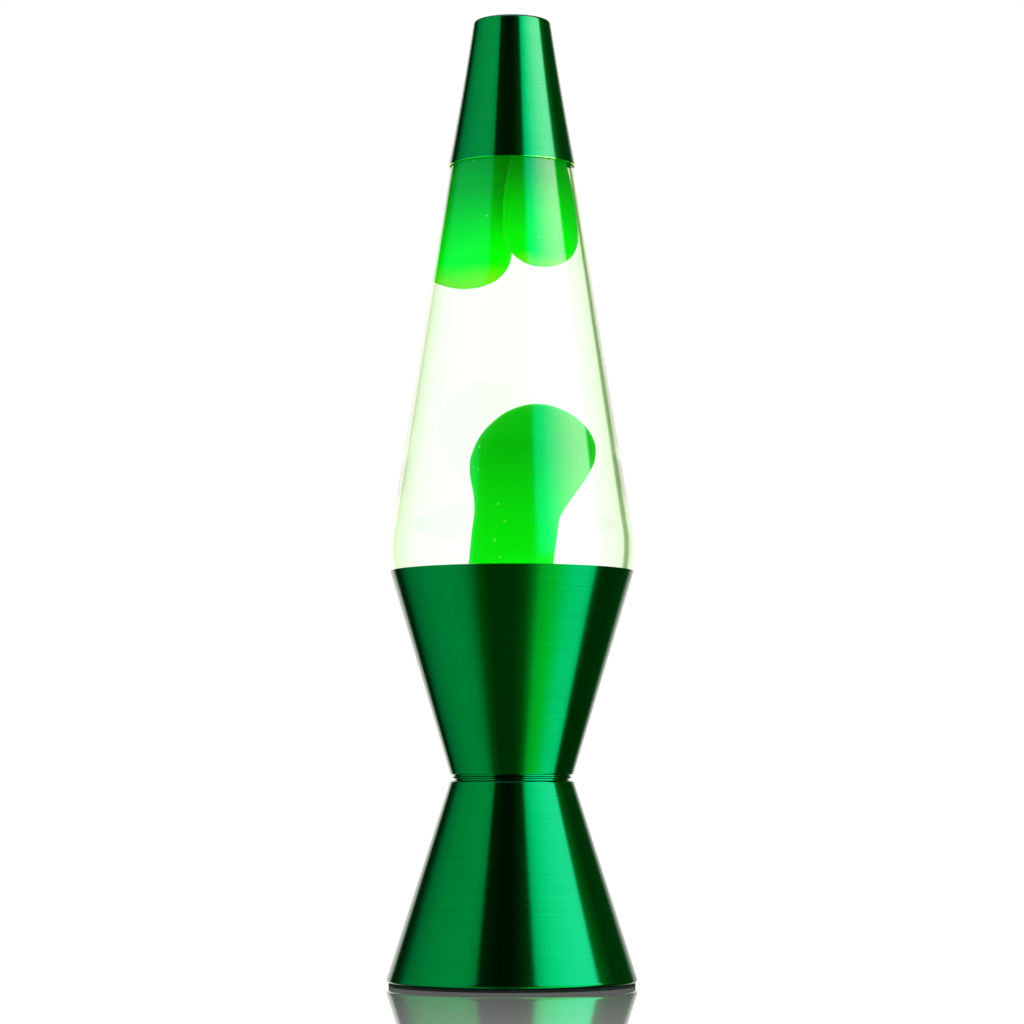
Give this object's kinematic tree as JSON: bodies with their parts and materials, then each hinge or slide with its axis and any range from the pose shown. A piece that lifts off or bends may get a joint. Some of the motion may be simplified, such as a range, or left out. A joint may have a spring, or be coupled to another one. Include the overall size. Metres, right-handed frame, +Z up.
{
  "type": "lava lamp",
  "caption": "Table lamp with a tapered sealed globe of liquid and wax standing in a waisted spun metal base, with a lift-off cap and a screw-in lamp below.",
  "frame": {"origin": "on the floor at the middle of the black base ring, on the lamp's axis", "axes": "+Z up along the lamp's axis; front at -Y; the cord bushing is at the back, +Y"},
  "size_m": [0.0946, 0.0946, 0.3683],
  "materials": {
    "green_metal": "brushed round and anodised green",
    "waist_metal": "turned and anodised dark green",
    "crown_steel": "tinned and crimped",
    "liner": "soft sealing disc",
    "globe_glass": "clear blown glass",
    "liquid": "clear liquid with a pale green tint",
    "wax": "translucent bright green wax",
    "coil_wire": "drawn spring wire",
    "black_plate": "matt black paint",
    "black_rubber": "matt black rubber",
    "zinc_steel": "zinc plated",
    "porcelain": "glazed white",
    "brass": "plain brass",
    "bulb_glass": "clear thin glass",
    "black_glass": "glossy black glass",
    "solder": "dull solder",
    "lead_wire": "drawn wire",
    "tungsten": "coiled grey wire"
  },
  "bodies": {
    "base": {"cup": "green_metal", "waist_ring": "waist_metal", "skirt": "green_metal", "base_plate": "black_plate", "base_ring": "black_rubber", "cord_bushing": "black_rubber", "socket_bracket": "zinc_steel", "socket_body": "porcelain", "socket_shell": "brass", "socket_contact": "brass", "contact_rivet": "brass", "socket_terminals": "brass", "terminal_screws": "brass", "socket_screw": "zinc_steel", "socket_washer": "zinc_steel", "waist_screws": "zinc_steel", "waist_nuts": "zinc_steel", "waist_washers": "zinc_steel"},
    "globe": {"glass_globe": "globe_glass", "lava_liquid": "liquid", "wax_column": "wax", "heat_coil": "coil_wire", "crown_cap": "crown_steel", "crown_liner": "liner"},
    "cap": {"cap": "green_metal"},
    "left_blob": {"wax_blob_left": "wax"},
    "right_blob": {"wax_blob_right": "wax"},
    "lamp_contact": {"bulb_tip": "solder"},
    "lamp": {"bulb_glass": "bulb_glass", "bulb_base": "brass", "bulb_insulator": "black_glass", "bulb_stem": "bulb_glass", "filament_leads": "lead_wire", "filament": "tungsten"}
  },
  "joints": [
    {"name": "globe_lift", "type": "slide", "parent": "base", "child": "globe", "axis": [0, 0, 1], "range_m": [0, 0.035]},
    {"name": "cap_lift", "type": "slide", "parent": "globe", "child": "cap", "axis": [0, 0, 1], "range_m": [0, 0.06]},
    {"name": "left_blob_drift", "type": "slide", "parent": "globe", "child": "left_blob", "axis": [0, 0, 1], "range_m": [-0.042, 0], "deforming": ["lava_liquid"]},
    {"name": "right_blob_drift", "type": "slide", "parent": "globe", "child": "right_blob", "axis": [0, 0, 1], "range_m": [-0.042, 0], "deforming": ["lava_liquid"]},
    {"name": "lamp_rise", "type": "slide", "parent": "base", "child": "lamp_contact", "axis": [0, 0, 1], "range_m": [0, 0.00988]},
    {"name": "lamp_turn", "type": "hinge", "parent": "lamp_contact", "child": "lamp", "pos_m": [0, 0, 0.08], "axis": [0, 0, 1], "range_deg": [0, 1260]}
  ],
  "couplings": [
    {"joint": "lamp_rise", "follows": "lamp_turn", "m_per_rad": 0.00044913}
  ]
}
